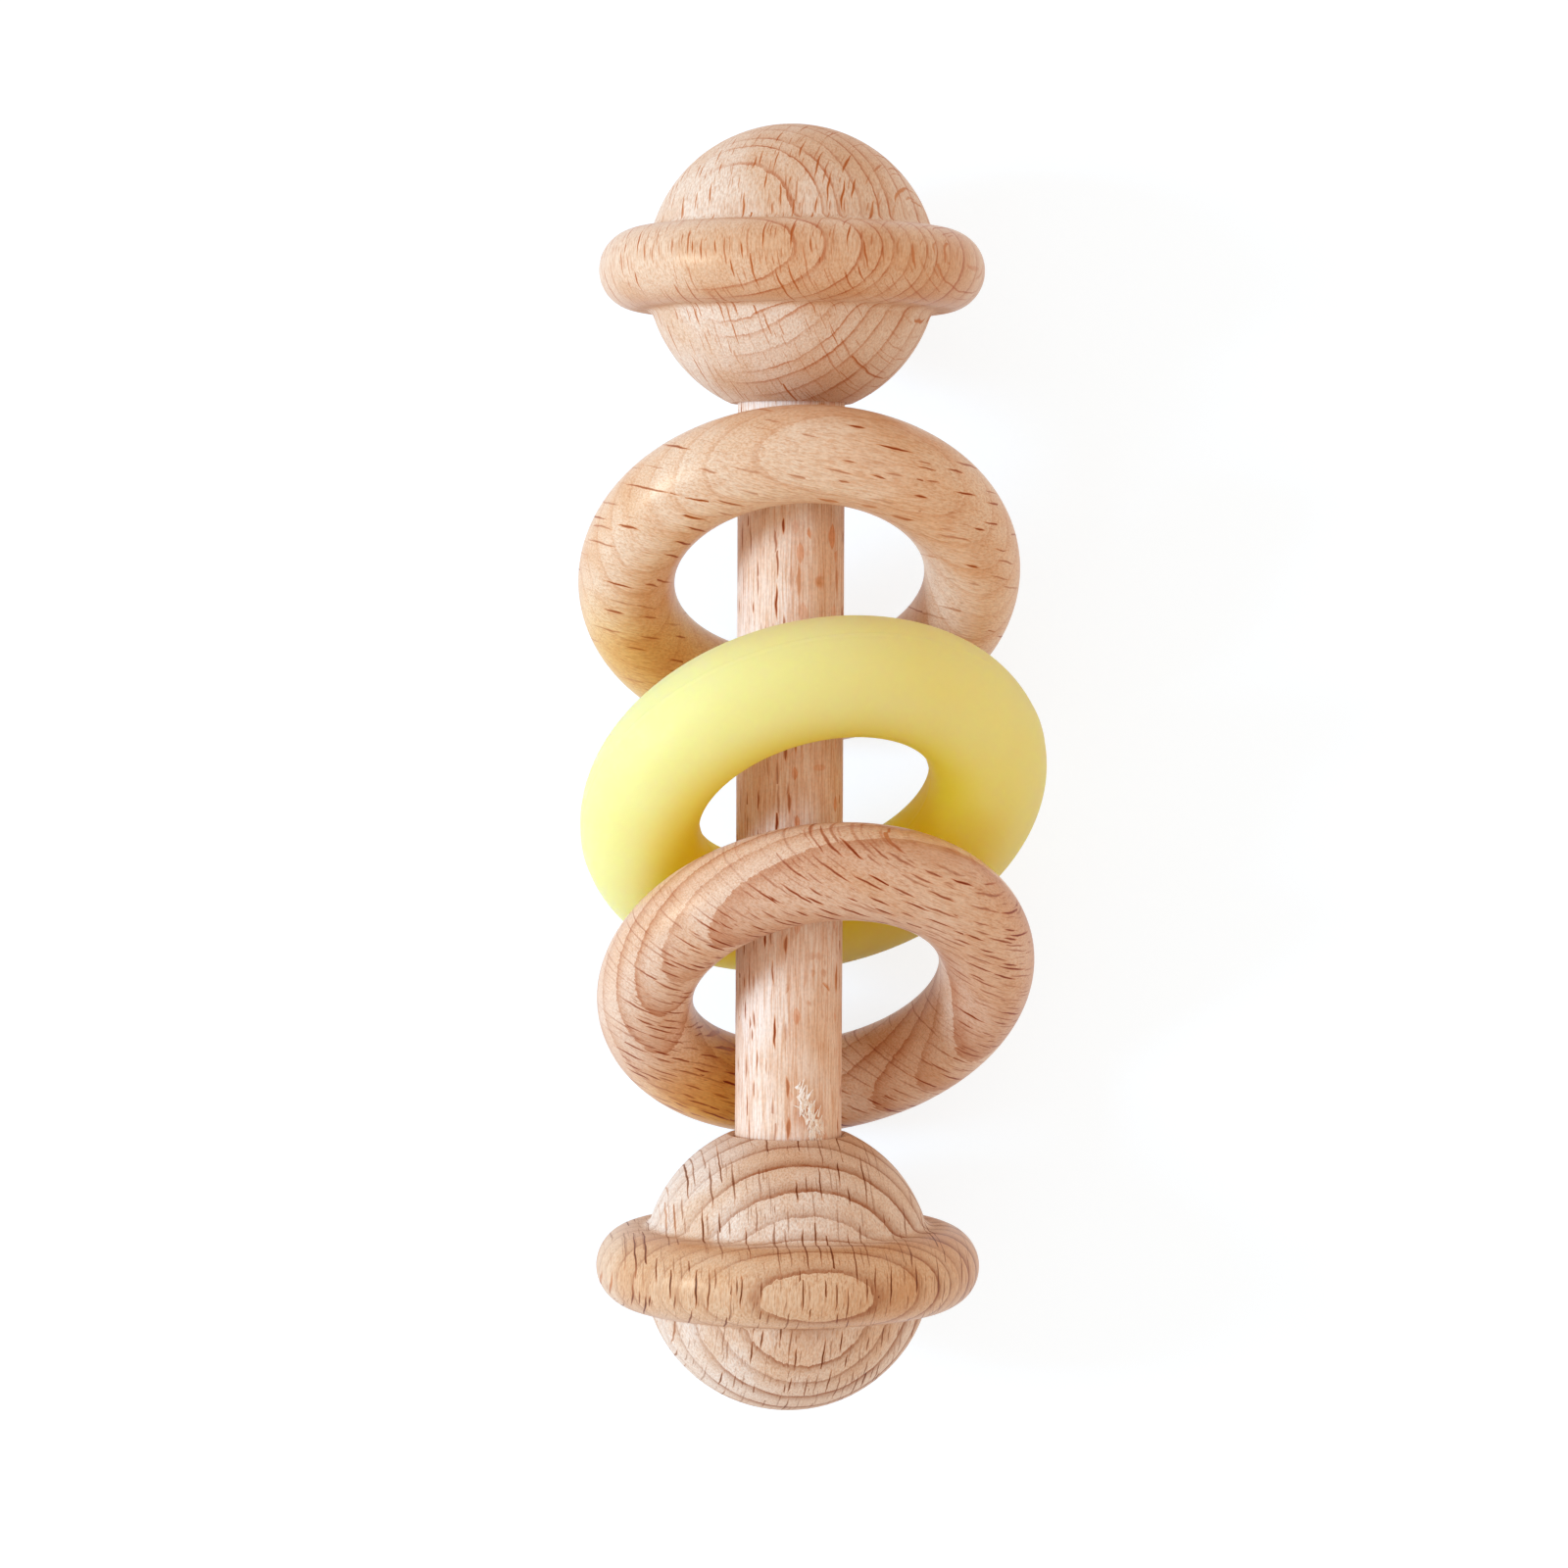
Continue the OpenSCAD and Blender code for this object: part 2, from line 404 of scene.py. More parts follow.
# %% Bead section
BALL_R = 16.25 * MM
RIM_D = 43.0 * MM
RIM_R = 4.5 * MM
HOLLOW_R = 1.2 * MM
BORE_R = 6.2 * MM
MOUTH_CHAMFER = 0.5 * MM
BORE_DEPTH = 16.5 * MM

rim_mid = RIM_D / 2 - RIM_R
hollow_x = ((BALL_R + HOLLOW_R) ** 2 - (RIM_R + HOLLOW_R) ** 2 + rim_mid ** 2) / (2 * rim_mid)
hollow_y = sqrt((BALL_R + HOLLOW_R) ** 2 - hollow_x ** 2)
ball_to_hollow = atan2(hollow_y, hollow_x)
hollow_to_rim = atan2(-hollow_y, rim_mid - hollow_x)
mouth_r = BORE_R + MOUTH_CHAMFER
mouth_y = sqrt(BALL_R ** 2 - mouth_r ** 2)
print("mouth of the bore from the ball's middle, in mm:", round(mouth_y / MM, 2))

# %% Turn a bead
CROWN_STEPS = 64
HOLLOW_STEPS = 14
RIM_STEPS = 64
FOOT_STEPS = 48
BORE_ROWS = 8


def turned_bead(name):
    """A bead about the origin with its axis along Y and its mouth facing down the axis."""
    made = pencil(name, (0, BALL_R, 0))
    hollow_turn = hollow_to_rim + pi - ball_to_hollow
    swing((0, 0, 0), ball_to_hollow - pi / 2, CROWN_STEPS)
    swing((hollow_x, hollow_y, 0), hollow_turn, HOLLOW_STEPS)
    swing((rim_mid, 0, 0), -2 * (pi + hollow_to_rim), RIM_STEPS)
    swing((hollow_x, -hollow_y, 0), hollow_turn, HOLLOW_STEPS)
    swing((0, 0, 0), ball_to_hollow - atan2(mouth_y, mouth_r), FOOT_STEPS)
    push((-MOUTH_CHAMFER, MOUTH_CHAMFER, 0))
    for _ in range(BORE_ROWS):
        push((0, (BORE_DEPTH - MOUTH_CHAMFER) / BORE_ROWS, 0))
    push((-BORE_R, 0, 0))
    turn_on_lathe((0, 1, 0), LATHE_STEPS)
    return made

# %% Ease the mouth
MOUTH_EASE = 0.14 * MM
NEAR = 0.02 * MM


def select_edges(piece, *lines):
    """Goes into edit mode and selects the edges whose two ends both lie on one of the lines."""
    bpy.context.view_layer.objects.active = piece
    bpy.ops.object.mode_set(mode="EDIT")
    bpy.ops.mesh.select_mode(type="EDGE")
    bpy.ops.mesh.select_all(action="DESELECT")
    bpy.ops.object.mode_set(mode="OBJECT")
    points = piece.data.vertices
    for edge in piece.data.edges:
        ends = [points[i].co for i in edge.vertices]
        edge.select = any(all(on_line(p) for p in ends) for on_line in lines)
    bpy.ops.object.mode_set(mode="EDIT")


def on_outer_edge(p):
    """Tells whether a point lies where the mouth's chamfer meets the ball."""
    return abs(Vector((p.x, p.z)).length - mouth_r) < NEAR and abs(p.y + mouth_y) < NEAR


def on_inner_edge(p):
    """Tells whether a point lies where the mouth's chamfer meets the bore."""
    return abs(p.y + mouth_y - MOUTH_CHAMFER) < NEAR


def ease_mouth(bead):
    """Rounds the two edges of the bore's mouth, which a turner eases with a scrap of sandpaper."""
    select_edges(bead, on_outer_edge, on_inner_edge)
    bpy.ops.mesh.bevel(offset=MOUTH_EASE, segments=3, affect="EDGES")
    bpy.ops.object.mode_set(mode="OBJECT")

# %% Beads
BEAD_SANDING_DEPTH = 0.06 * MM
BEAD_SANDING_SPAN = 8 * MM

bead_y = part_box("upper_bead")[1].y - BALL_R


def finished_bead(name, y, turn, seed):
    """A bead at its end of the dowel, eased and sanded."""
    bead = turned_bead(name)
    ease_mouth(bead)
    put_in_place(bead, (0, y, axis_z), turn)
    sand_by_hand(bead, BEAD_SANDING_DEPTH, BEAD_SANDING_SPAN, seed)
    report(bead)
    return bead


upper_bead = finished_bead("upper_turned_bead", bead_y, (0, 0, 0), seed=2)
lower_bead = finished_bead("lower_turned_bead", -bead_y, (0, 0, pi), seed=3)

# %% [markdown]
# ## The rings
# A ring is a round rod closed on itself: one point is swung into a circle, and the circle is spun about
# the ring's axis. A torus would do, but the lathe gives the choice of where its points lie. On the rattle
# each ring stands on the table and leans over the dowel, so it is made flat about the origin and then
# leant, turned and moved to the middle of its solid.

# %% Ring helpers
RING_STEPS = 256
TUBE_STEPS = 96


def round_ring(name, centre_r, tube_r):
    """A ring about the origin, flat on the XY plane."""
    made = pencil(name, (centre_r + tube_r, 0, 0))
    swing((centre_r, 0, 0), 2 * pi, TUBE_STEPS, axis=(0, 1, 0))
    weld()
    turn_on_lathe((0, 0, 1), RING_STEPS)
    return made


def middle(node):
    """The middle of a solid's box."""
    low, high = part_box(node)
    return (low + high) / 2


def lean_over_dowel(centre_r, lift):
    """The angle at which a ring stands on the table with its top this far above the dowel."""
    return asin((axis_z + dowel_r + lift) / (2 * centre_r))

# %% Wooden rings
WOOD_RING_R = 19.4 * MM
WOOD_TUBE_R = 5.4 * MM
UPPER_LIFT = 0.3 * MM
LOWER_LIFT = 1.2 * MM
UPPER_TURN = (lean_over_dowel(WOOD_RING_R, UPPER_LIFT), 0, radians(4))
LOWER_TURN = (lean_over_dowel(WOOD_RING_R, LOWER_LIFT), 0, radians(11))


def wooden_ring(name, node, turn, seed):
    """A sanded ring in the place of its solid."""
    ring = round_ring(name, WOOD_RING_R, WOOD_TUBE_R)
    put_in_place(ring, middle(node), turn)
    sand_by_hand(ring, SANDING_DEPTH, SANDING_SPAN, seed)
    report(ring)
    return ring


upper_ring = wooden_ring("upper_beech_ring", "upper_ring", UPPER_TURN, seed=4)
lower_ring = wooden_ring("lower_beech_ring", "lower_ring", LOWER_TURN, seed=5)

# %% [markdown]
# ## The silicone ring
# Silicone is pressed in a mould of two halves, and the halves leave a fine raised line round the outside
# and the inside of the ring. A bump in the material could fake it, but then its edge would be flat. So the
# two edge loops where the halves met are bevelled into a narrow band, and the band's middle is lifted.

# %% Silicone ring
SOFT_RING_R = 19.9 * MM
SOFT_TUBE_R = 6.7 * MM
SOFT_LIFT = 2.2 * MM
SOFT_TURN = (lean_over_dowel(SOFT_RING_R, SOFT_LIFT), 0, radians(16.5))
SEAM_HEIGHT = 0.07 * MM
SEAM_WIDTH = 0.16 * MM
SEAM_REACH = 0.001 * MM


def on_seam(p):
    """Tells whether a point lies where the two halves of the mould meet."""
    return abs(p.z) < SEAM_REACH


silicone_ring = round_ring("yellow_silicone_ring", SOFT_RING_R, SOFT_TUBE_R - SEAM_HEIGHT)
select_edges(silicone_ring, on_seam)
bpy.ops.mesh.bevel(offset=SEAM_WIDTH, segments=2, affect="EDGES", profile=0.5)
select_edges(silicone_ring, on_seam)
bpy.ops.transform.shrink_fatten(value=SEAM_HEIGHT)
bpy.ops.mesh.select_mode(type="VERT")
bpy.ops.object.mode_set(mode="OBJECT")
put_in_place(silicone_ring, middle("silicone_ring"), SOFT_TURN)
bpy.ops.object.shade_smooth()
report(silicone_ring)

# %% [markdown]
# ## Beech
# Beech is known by two marks. Growth rings show as thin orange-brown lines, with darker latewood on the
# side towards the pith. Rays show as small dark spindles where a cut runs along the rings, and as satin
# flakes where it runs towards the pith. An image of wood wrapped round a ball would stretch, so the
# wood is worked out in depth: every piece is cut from its own block, with its own pith line beside it.

# %% Sums in nodes
def number(tree, operation, first, second=0.0, third=0.0):
    """A sum on numbers."""
    return add_node(tree, "ShaderNodeMath", {0: first, 1: second, 2: third}, operation=operation).outputs[0]


def arrow(tree, operation, first, second=(0, 0, 0)):
    """A sum on vectors."""
    return add_node(tree, "ShaderNodeVectorMath", {0: first, 1: second}, operation=operation).outputs[0]


def span_of(tree, operation, first, second=(0, 0, 0)):
    """A sum on vectors that gives one number."""
    return add_node(tree, "ShaderNodeVectorMath", {0: first, 1: second}, operation=operation).outputs[1]


def point_of(tree, x, y, z):
    """Three numbers as one vector."""
    return add_node(tree, "ShaderNodeCombineXYZ", {0: x, 1: y, 2: z}).outputs[0]


def between(tree, value, start, end, low=0.0, high=1.0):
    """Eases from low to high while the value goes from start to end."""
    sockets = {0: value, 1: start, 2: end, 3: low, 4: high}
    return add_node(tree, "ShaderNodeMapRange", sockets, interpolation_type="SMOOTHSTEP").outputs[0]


def over(tree, share, below, above, mode="MIX"):
    """Lays one colour over another."""
    sockets = {0: share, 6: below, 7: above}
    return add_node(tree, "ShaderNodeMix", sockets, data_type="RGBA", blend_type=mode).outputs[2]

# %% Clouds, relief and shader
CLOUD_SHIFT = (1.0, 1.7, 2.3)
CLOUD_ROUGHNESS = 0.6


def clouds(tree, place, span, detail=2.0, shift=0.0):
    """Soft noise whose lumps are about span long in x, y and z. Its middle value is a half."""
    moved = [shift * step for step in CLOUD_SHIFT]
    stretched = arrow(tree, "ADD", arrow(tree, "DIVIDE", place, span), moved)
    sockets = {"Vector": stretched, "Scale": 1.0, "Detail": detail, "Roughness": CLOUD_ROUGHNESS}
    return add_node(tree, "ShaderNodeTexNoise", sockets)


def relief(tree, height, strength, depth):
    """The way the surface faces when the height is cut into it."""
    sockets = {"Strength": strength, "Distance": depth, "Height": height}
    return add_node(tree, "ShaderNodeBump", sockets).outputs[0]


def shade(tree, sockets):
    """Ends a finish with its shader."""
    shader = add_node(tree, "ShaderNodeBsdfPrincipled", sockets)
    add_node(tree, "ShaderNodeOutputMaterial", {"Surface": shader.outputs[0]})

# %% [markdown]
# ### Spindle marks
# Rays, pores, flakes and dust are all small marks, long or round, scattered with some order. They could be
# drawn one by one, but there are thousands. A Voronoi texture puts one point in each cell of a stretched
# grid, and the distance from that point, measured by the mark's own thickness, length and depth, gives its
# outline. Every mark draws its own length and strength, and some are left out.

# %% Spindle marks
SPINDLE_SHIFT = (1.0, 1.3, 2.1)
SCATTER = 0.9
LENGTH_SPREAD = 0.9
LEAST_LENGTH = 0.45
LEAST_STRENGTH = 0.3
MISSING_EDGE = 0.02
MARK_EDGE = (1.0, 0.7)
STAIN_EDGE = (1.8, 0.9)


def spindles(tree, grain, cell, half, missing, shift):
    """Spindle marks, one in each cell of wood, and a soft stain round each. half is half a mark's thickness,
    length and depth in mm."""
    moved = [shift * step for step in SPINDLE_SHIFT]
    spread = arrow(tree, "ADD", arrow(tree, "DIVIDE", grain, cell), moved)
    sockets = {"Vector": spread, "Scale": 1.0, "Randomness": SCATTER}
    cells = add_node(tree, "ShaderNodeTexVoronoi", sockets).outputs
    away = arrow(tree, "ABSOLUTE", arrow(tree, "SUBTRACT", spread, cells["Position"]))
    away = arrow(tree, "MULTIPLY", away, [c / h for c, h in zip(cell, half)])
    across, along, deep = add_node(tree, "ShaderNodeSeparateXYZ", {0: away}).outputs
    draws = add_node(tree, "ShaderNodeSeparateXYZ", {0: cells["Color"]}).outputs
    length = number(tree, "MULTIPLY_ADD", draws[0], LENGTH_SPREAD, LEAST_LENGTH)
    along = number(tree, "POWER", number(tree, "DIVIDE", along, length), 2.0)
    deep = number(tree, "POWER", deep, 2.0)
    reach = number(tree, "ADD", number(tree, "ADD", across, along), deep)
    kept = between(tree, draws[1], missing, missing + MISSING_EDGE)
    strength = number(tree, "MULTIPLY", between(tree, draws[2], 0.0, 1.0, LEAST_STRENGTH, 1.0), kept)
    mark = number(tree, "MULTIPLY", between(tree, reach, *MARK_EDGE), strength)
    wash = number(tree, "MULTIPLY", between(tree, reach, *STAIN_EDGE), strength)
    return mark, wash

# %% [markdown]
# ### Where a piece lies in its block
# A sawyer measures wood across the rays, along the grain and out from the pith. A Mapping node turns the
# piece's own coordinates into the block's, in mm, and a slow noise bends them a little, because no tree
# grows straight. The rays spread from the pith like spokes, so the distance across them is scaled by depth.

# %% Place in the block
DRIFT_SPAN = (30, 45, 30)


def in_block(tree, where, place, turn=(0, 0, 0)):
    """A point of the piece measured in mm from the block's middle, along the block's own directions."""
    sockets = {"Vector": where, "Location": place, "Rotation": turn, "Scale": (MM,) * 3}
    return add_node(tree, "ShaderNodeMapping", sockets, vector_type="TEXTURE").outputs[0]


def cut_from_block(tree, where, place, turn, wood):
    """Measures each point in its block: to the side, across the rays, along the grain, out from the pith."""
    block = in_block(tree, where["Object"], place, turn)
    lumps = clouds(tree, block, DRIFT_SPAN, 1, wood["seed"]).outputs["Color"]
    drift = arrow(tree, "MULTIPLY", arrow(tree, "SUBTRACT", lumps, (0.5,) * 3), wood["drift"])
    part = add_node(tree, "ShaderNodeSeparateXYZ", {0: arrow(tree, "ADD", block, drift)})
    side, along, out = part.outputs
    depth = number(tree, "ADD", out, wood["pith"])
    squares = number(tree, "MULTIPLY_ADD", side, side, number(tree, "MULTIPLY", depth, depth))
    radius = number(tree, "SQRT", squares)
    across = number(tree, "MULTIPLY", side, number(tree, "DIVIDE", wood["pith"], depth))
    return side, across, along, number(tree, "SUBTRACT", radius, wood["pith"])


def facing(tree, where, turn, way):
    """How squarely the surface faces one direction of the block, from 0 to 1."""
    way = Euler(turn).to_matrix() @ Vector(way)
    return number(tree, "ABSOLUTE", span_of(tree, "DOT_PRODUCT", where["Normal"], way))

# %% [markdown]
# ### Growth rings
# A beech grows fast in one year and slowly in the next, so its rings are never evenly spaced, as those of
# a Wave texture are. A curve holds where each year ends instead. Three noises, each finer than the last,
# make the rings waver, and every year draws how dark its latewood is.

# %% Count the years
def years_grown(tree, out, ends):
    """Counts the years from the pith outwards. ends tells where each year ends, in mm from the middle."""
    span = ends[-1] - ends[0]
    share = number(tree, "DIVIDE", number(tree, "SUBTRACT", out, ends[0]), span)
    bent = add_node(tree, "ShaderNodeFloatCurve", {"Value": share})
    last = len(ends) - 1
    for year in range(1, last):
        bent.mapping.curves[0].points.new((ends[year] - ends[0]) / span, year / last)
    for point in bent.mapping.curves[0].points:
        point.handle_type = "VECTOR"
    bent.mapping.extend = "EXTRAPOLATED"
    bent.mapping.update()
    return number(tree, "MULTIPLY", bent.outputs[0], last)

# %% Growth rings
WAVER_SPAN = (9, 14, 9)
RIPPLE_SPAN = (2.4, 5.0, 2.4)
TOOTH_SPAN = (0.4, 3.0, 0.8)
PATCH_SPAN = (3.0, 6.0, 3.0)
PATCH_RANGE = (0.35, 0.6, 0.35, 1.0)
LEAST_FORCE = 0.5
LINE_EDGE = (0.82, 0.95)


def growth_rings(tree, grain, side, out, wood):
    """How much latewood is at each point, and how much of the fine line that ends each year."""
    seed = wood["seed"]
    waves = [
        (clouds(tree, grain, WAVER_SPAN, 1, seed + 3).outputs[0], wood["waver"]),
        (clouds(tree, grain, RIPPLE_SPAN, 1, seed + 4).outputs[0], wood["ripple"]),
        (clouds(tree, grain, TOOTH_SPAN, 2, seed + 5).outputs[0], wood["tooth"]),
    ]
    for wave, size in waves:
        out = number(tree, "MULTIPLY_ADD", number(tree, "SUBTRACT", wave, 0.5), size, out)
    count = years_grown(tree, out, wood["years"])
    year = number(tree, "FRACT", count)
    sockets = {"W": number(tree, "FLOOR", count)}
    chance = add_node(tree, "ShaderNodeTexWhiteNoise", sockets, noise_dimensions="1D").outputs[0]
    force = number(tree, "MULTIPLY_ADD", chance, 1.0 - LEAST_FORCE, LEAST_FORCE)
    # Where fade is set, the year lines thin out towards one side; on the upper bead that is its lit left
    # side, a painted highlight.
    force = number(tree, "MULTIPLY", force, between(tree, side, *wood["fade"]))
    force = number(tree, "MULTIPLY", force, between(tree, out, *wood["deepen"]))
    patchy = clouds(tree, grain, PATCH_SPAN, 2, seed + 7).outputs[0]
    broken = number(tree, "MULTIPLY", force, between(tree, patchy, *PATCH_RANGE))
    late = number(tree, "MULTIPLY", between(tree, year, wood["late_from"], 1.0), force)
    line = number(tree, "MULTIPLY", between(tree, year, *LINE_EDGE), broken)
    return late, line

# %% [markdown]
# ### Rays, pores and fibres
# A ray is a thin sheet of cells that runs out from the pith. A cut along the rings crosses it, so it shows
# as a dark spindle, a few millimetres long, in wood that is a little stained. Broad rays are easy to see,
# and narrow ones fill in between. Pores and fibres are finer still, and they carry the bump as well.

# %% Rays, pores and fibres
BEND_SPAN = (1.3, 2.2, 2.0)
BEND = 0.35
NARROW_RAY = {"cell": (0.85, 2.6, 4.0), "half": (0.055, 0.8, 4.0), "missing": 0.3}
PORE = {"cell": (0.30, 0.9, 0.30), "half": (0.08, 0.4, 0.14), "missing": 0.25}
SPECK_SPAN = (0.24, 0.42, 0.24)


def ray_marks(tree, grain, across, along, out, wood):
    """Broad and narrow rays with their halos, bent a little where they pass the fibres."""
    seed = wood["seed"]
    wiggle = clouds(tree, grain, BEND_SPAN, 1, seed + 11).outputs[0]
    bent = point_of(tree, number(tree, "MULTIPLY_ADD", wiggle, BEND, across), along, out)
    broad = spindles(tree, bent, wood["ray_cell"], wood["ray_half"], wood["ray_missing"], seed + 13)
    narrow = spindles(tree, bent, **NARROW_RAY, shift=seed + 17)
    return broad, narrow


def fine_grain(tree, grain, wood):
    """Pores as short dark dashes, fibres as long fine streaks, and the light specks that sanding leaves."""
    seed = wood["seed"]
    pores = spindles(tree, grain, **PORE, shift=seed + 19)[0]
    fibre = clouds(tree, grain, wood["fibre"], 3, seed + 23).outputs[0]
    speck = clouds(tree, grain, SPECK_SPAN, 1, seed + 29).outputs[0]
    return pores, fibre, speck

# %% [markdown]
# ### The colour of beech
# The colour is laid on in thin layers, as a painter would: early wood, latewood and year lines first, then
# slow changes of tone, stained patches and patches of painted light and shade, fibres, specks and pores,
# and the rays on top. Most layers multiply what is below them, so that they darken the wood and keep its
# figure. Where a surface runs towards the pith the rays are cut lengthwise and turn into flakes, and where
# it cuts across the grain the wood drinks more oil and is warmer.

# %% Colour without rays
TONE_SPAN = (8, 18, 8)
TONE_EDGE = (0.42, 0.68)
STAIN_CORE = 0.25
STREAK_EDGE = (0.62, 0.34)
SPECK_RANGE = (0.25, 0.75, 0.94, 1.06)
PORE_SHARE = 0.3


def plain_colour(tree, where, grain, rings, fine, wood):
    """The wood's colour before its rays are laid over it."""
    late, line = rings
    pores, fibre, speck = fine
    colour = over(tree, number(tree, "MULTIPLY", late, wood["late_share"]), wood["early"], wood["late"])
    colour = over(tree, number(tree, "MULTIPLY", line, wood["line_share"]), colour, wood["line"])
    tone = clouds(tree, grain, TONE_SPAN, 2, wood["seed"] + 9).outputs[0]
    warm = between(tree, tone, *TONE_EDGE, 0.0, wood["warm_share"])
    colour = over(tree, warm, colour, wood["warm"], "MULTIPLY")
    # A real stained patch on the dowel, and painted light and painted shade on the rings, each multiplied in
    # round its spot.
    for spot, reach, wash in wood["stains_and_painted_light"]:
        near = span_of(tree, "DISTANCE", where["Object"], spot)
        colour = over(tree, between(tree, near, reach, reach * STAIN_CORE), colour, wash, "MULTIPLY")
    streak = between(tree, fibre, *STREAK_EDGE, 0.0, wood["streak_share"])
    colour = over(tree, streak, colour, wood["streak"], "MULTIPLY")
    colour = over(tree, 1.0, colour, between(tree, speck, *SPECK_RANGE), "MULTIPLY")
    return over(tree, number(tree, "MULTIPLY", pores, PORE_SHARE), colour, wood["late"], "MULTIPLY")

# %% Colour with rays
FLAT_ON = (0.72, 0.96)
END_ON = (0.35, 0.8)
SHEET = {"cell": (1.0, 4.6, 12.0), "half": (0.2, 1.4, 12.0), "missing": 0.2}
SHEET_RANGE = (0.80, 0.92, 0.0, 0.8)
END_GRAIN_RANGE = (0.70, 1.0, 0.0, 0.6)


def ray_colour(tree, where, turn, grain, colour, rays, wood):
    """Lays the rays over the colour, as the surface cuts them."""
    broad, narrow = rays
    flat_on = facing(tree, where, turn, (1, 0, 0))
    end_on = facing(tree, where, turn, (0, 1, 0))
    ray = over(tree, between(tree, flat_on, *FLAT_ON), wood["ray"], wood["flake"])
    shown = between(tree, end_on, *END_ON, 1.0, wood["end_share"])
    for (mark, wash), share in ((narrow, wood["narrow_share"]), (broad, 1.0)):
        share = number(tree, "MULTIPLY", shown, share)
        colour = over(tree, number(tree, "MULTIPLY", wash, share), colour, wood["halo"], "MULTIPLY")
        colour = over(tree, number(tree, "MULTIPLY", mark, share), colour, ray)
    if wood["flakes"]:
        sheets = spindles(tree, grain, **SHEET, shift=wood["seed"] + 31)[0]
        shown = number(tree, "MULTIPLY", sheets, between(tree, flat_on, *SHEET_RANGE))
        colour = over(tree, shown, colour, wood["flakes"], "MULTIPLY")
    return over(tree, between(tree, end_on, *END_GRAIN_RANGE), colour, wood["warm"], "MULTIPLY")

# %% [markdown]
# ### The surface of beech
# The wood is sanded and rubbed with oil, which leaves a low gloss in the wood's own warm tint: a white gloss
# would lie over the thin dark rays like a grey veil. Fibres stand up a little, pores and rays sink in.

# %% Beech finish
OILED = (1.0, 0.62, 0.36, 1.0)
OIL_SPECULAR = 0.4
FIBRE_ROUGH = 0.14
RAY_ROUGH = 0.10
RIM_EDGE = (17.0 * MM, 18.6 * MM)
RIM_POLISH = -0.22
FIBRE_HEIGHT = 0.6
PORE_HEIGHT = -0.6
RAY_HEIGHT = -0.5
GRAIN_STRENGTH = 0.6
GRAIN_DEPTH = 0.03 * MM


def beech(name, place, turn, wood):
    """Beech whose block is turned about place: its own x runs across the rays, y along the grain, and z
    away from the pith."""
    finish, tree = empty_finish(name)
    where = add_node(tree, "ShaderNodeTexCoord").outputs
    side, across, along, out = cut_from_block(tree, where, place, turn, wood)
    grain = point_of(tree, across, along, out)
    rings = growth_rings(tree, grain, side, out, wood)
    rays = ray_marks(tree, grain, across, along, out, wood)
    fine = fine_grain(tree, grain, wood)
    colour = plain_colour(tree, where, grain, rings, fine, wood)
    colour = ray_colour(tree, where, turn, grain, colour, rays, wood)

    pores, fibre, _ = fine
    ray_mark = rays[0][0]
    gloss = number(tree, "MULTIPLY_ADD", ray_mark, RAY_ROUGH, wood["rough"])
    gloss = number(tree, "MULTIPLY_ADD", fibre, FIBRE_ROUGH, gloss)
    if wood["rim"]:
        from_middle = arrow(tree, "SUBTRACT", where["Object"], place)
        from_axis = span_of(tree, "LENGTH", arrow(tree, "MULTIPLY", from_middle, (1, 0, 1)))
        on_rim = between(tree, from_axis, *RIM_EDGE)
        colour = over(tree, on_rim, colour, wood["rim"], "MULTIPLY")
        gloss = number(tree, "MULTIPLY_ADD", on_rim, RIM_POLISH, gloss)

    height = number(tree, "MULTIPLY_ADD", fibre, FIBRE_HEIGHT, number(tree, "MULTIPLY", pores, PORE_HEIGHT))
    height = number(tree, "ADD", height, number(tree, "MULTIPLY", ray_mark, RAY_HEIGHT))
    shade(tree, {
        "Base Color": colour, "Roughness": gloss, "Specular IOR Level": OIL_SPECULAR, "Specular Tint": OILED,
        "Normal": relief(tree, height, GRAIN_STRENGTH, GRAIN_DEPTH),
    })
    return finish

# %% [markdown]
# ### Five blocks of beech
# The five wooden pieces come from five boards, so each has its own colour, years and rays. The values that
# they share are written once. The rims of the beads are handled most, so they are darker and smoother than
# the balls. The dowel has a darker, reddish patch round its torn fibres, which is the wood's own colour.
# The rings carry painted light instead: the upper ring has a yellow patch for the light thrown back by the
# silicone ring, and the lower ring has painted shade, a deeper and warmer orange on its shaded low limb.
# Only the dowel is cut so that it shows long flakes.

# %% What the blocks share
EVERYWHERE = (100.0, 101.0, 1.0, 0.0)
COMMON = {
    "line": picked(176, 96, 44), "late_from": 0.35,
    "warm": picked(242, 220, 196), "warm_share": 0.7,
    "flake": picked(204, 140, 98), "halo": picked(232, 182, 138), "end_share": 0.8,
    "pith": 272.0, "drift": (0.5, 2.0, 0.4), "waver": 0.5, "ripple": 0.35, "tooth": 0.3,
    "fade": EVERYWHERE, "deepen": EVERYWHERE, "stains_and_painted_light": [], "flakes": None, "rim": None,
    "fibre": (0.17, 2.0, 0.17), "streak": picked(236, 212, 194), "streak_share": 0.8, "rough": 0.50,
}
print("shared values:", len(COMMON))

